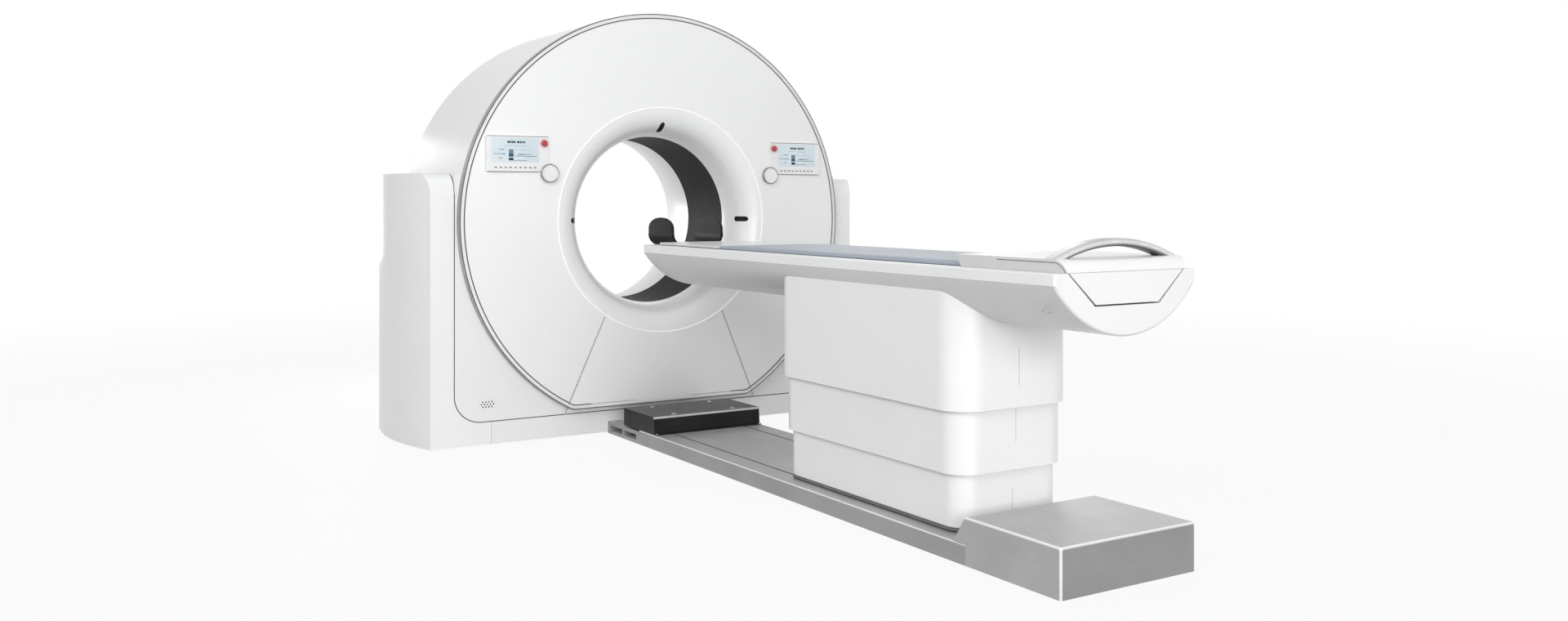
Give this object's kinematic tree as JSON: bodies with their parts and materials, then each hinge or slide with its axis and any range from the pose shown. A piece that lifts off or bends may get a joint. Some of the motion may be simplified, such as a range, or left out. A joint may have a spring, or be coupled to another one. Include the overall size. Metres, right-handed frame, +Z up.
{
  "type": "computed tomography scanner",
  "caption": "Round computed tomography gantry in a frame of tower covers, with a lifting patient table that rides on a floor rail toward the bore.",
  "frame": {"origin": "on the floor, straight under the centre of the scan plane", "axes": "+Z up; +Y along the bore, from the table through the gantry; +X to the right seen from the table"},
  "size_m": [2.38, 4.02, 2.0158],
  "materials": {
    "cover_white": "satin",
    "frame_white": "satin",
    "table_white": "satin",
    "trim_grey": "satin",
    "ring_white": "gloss",
    "liner_dark": "satin",
    "laser_black": "gloss",
    "grille_grey": "matt",
    "frame_steel": "satin",
    "bearing_steel": "ground",
    "motor_iron": "painted",
    "slip_brass": "polished",
    "brush_black": "matt",
    "tube_steel": "satin",
    "weight_iron": "cast",
    "detector_alu": "satin",
    "cabinet_alu": "satin",
    "panel_silver": "satin",
    "screen_glass": "gloss",
    "key_grey": "matt",
    "stop_red": "gloss",
    "dial_white": "satin",
    "rail_alu": "brushed",
    "block_alu": "brushed",
    "guide_steel": "ground",
    "smoked_cover": "gloss",
    "carriage_steel": "satin",
    "lift_steel": "ground",
    "handle_silver": "satin",
    "pad_grey": "coated",
    "carbon_black": "satin",
    "carbon_white": "satin"
  },
  "bodies": {
    "base": {"gantry_base_plate": "frame_steel", "stator_frame": "frame_steel", "bearing_outer_race": "bearing_steel", "drive_stator": "motor_iron", "brush_block": "brush_black", "electronics_cabinets": "cabinet_alu", "left_tower_cover": "cover_white", "right_tower_cover": "cover_white", "front_panel": "frame_white", "rear_panel": "frame_white", "gantry_plinths": "frame_white", "drum_cover": "cover_white", "edge_trim": "trim_grey", "front_cover": "cover_white", "service_hatch": "cover_white", "light_ring": "ring_white", "front_flare": "cover_white", "bore_liner": "liner_dark", "rear_flare": "cover_white", "rear_cover": "cover_white", "laser_windows": "laser_black", "speaker_grille": "grille_grey", "left_panel_housing": "panel_silver", "right_panel_housing": "panel_silver", "left_screen": "screen_glass", "right_screen": "screen_glass", "panel_keys": "key_grey", "rail_bed": "rail_alu", "guide_rails": "guide_steel", "rail_end_block": "block_alu", "rail_link_cover": "smoked_cover", "rail_brackets": "rail_alu"},
    "rotor": {"rotor_ring": "frame_steel", "bearing_inner_race": "bearing_steel", "drive_rotor": "motor_iron", "slip_ring": "slip_brass", "xray_tube": "tube_steel", "collimator": "tube_steel", "hv_generator": "cabinet_alu", "tube_cooler": "cabinet_alu", "detector_arc": "detector_alu", "counterweights": "weight_iron"},
    "carriage": {"couch_carriage": "carriage_steel", "lower_lift_cover": "table_white", "lift_outer_tubes": "lift_steel"},
    "lift_middle": {"middle_lift_cover": "table_white", "lift_middle_tubes": "lift_steel"},
    "lift_top": {"upper_lift_cover": "table_white", "lift_inner_tubes": "lift_steel", "table_hull": "table_white", "hull_channel": "table_white"},
    "cradle_slide": {"cradle": "carbon_white", "foot_block": "table_white", "grab_handle": "handle_silver", "mattress": "pad_grey", "head_holder": "carbon_black"},
    "left_stop": {"left_stop_button": "stop_red"},
    "right_stop": {"right_stop_button": "stop_red"},
    "left_knob": {"left_dial": "dial_white"},
    "right_knob": {"right_dial": "dial_white"}
  },
  "joints": [
    {"name": "rotor_spin", "type": "hinge", "parent": "base", "child": "rotor", "pos_m": [0, 0, 1.016], "axis": [0, 1, 0], "continuous": true},
    {"name": "couch_travel", "type": "slide", "parent": "base", "child": "carriage", "axis": [0, 1, 0], "range_m": [0, 1]},
    {"name": "table_lift", "type": "slide", "parent": "carriage", "child": "lift_top", "axis": [0, 0, 1], "range_m": [-0.34, 0]},
    {"name": "middle_lift", "type": "slide", "parent": "carriage", "child": "lift_middle", "axis": [0, 0, 1], "range_m": [-0.15, 0]},
    {"name": "cradle_travel", "type": "slide", "parent": "lift_top", "child": "cradle_slide", "axis": [0, 1, 0], "range_m": [0, 0.5]},
    {"name": "left_stop_press", "type": "slide", "parent": "base", "child": "left_stop", "axis": [0, 1, 0], "range_m": [0, 0.0035], "stiffness_N_per_m": 900, "springref_m": -0.003},
    {"name": "left_dial_turn", "type": "hinge", "parent": "base", "child": "left_knob", "pos_m": [-0.5875, -0.378, 1.236], "axis": [0, 1, 0], "continuous": true},
    {"name": "right_stop_press", "type": "slide", "parent": "base", "child": "right_stop", "axis": [0, 1, 0], "range_m": [0, 0.0035], "stiffness_N_per_m": 900, "springref_m": -0.003},
    {"name": "right_dial_turn", "type": "hinge", "parent": "base", "child": "right_knob", "pos_m": [0.5875, -0.378, 1.236], "axis": [0, 1, 0], "continuous": true}
  ],
  "couplings": [
    {"joint": "middle_lift", "follows": "table_lift", "ratio": 0.43}
  ]
}
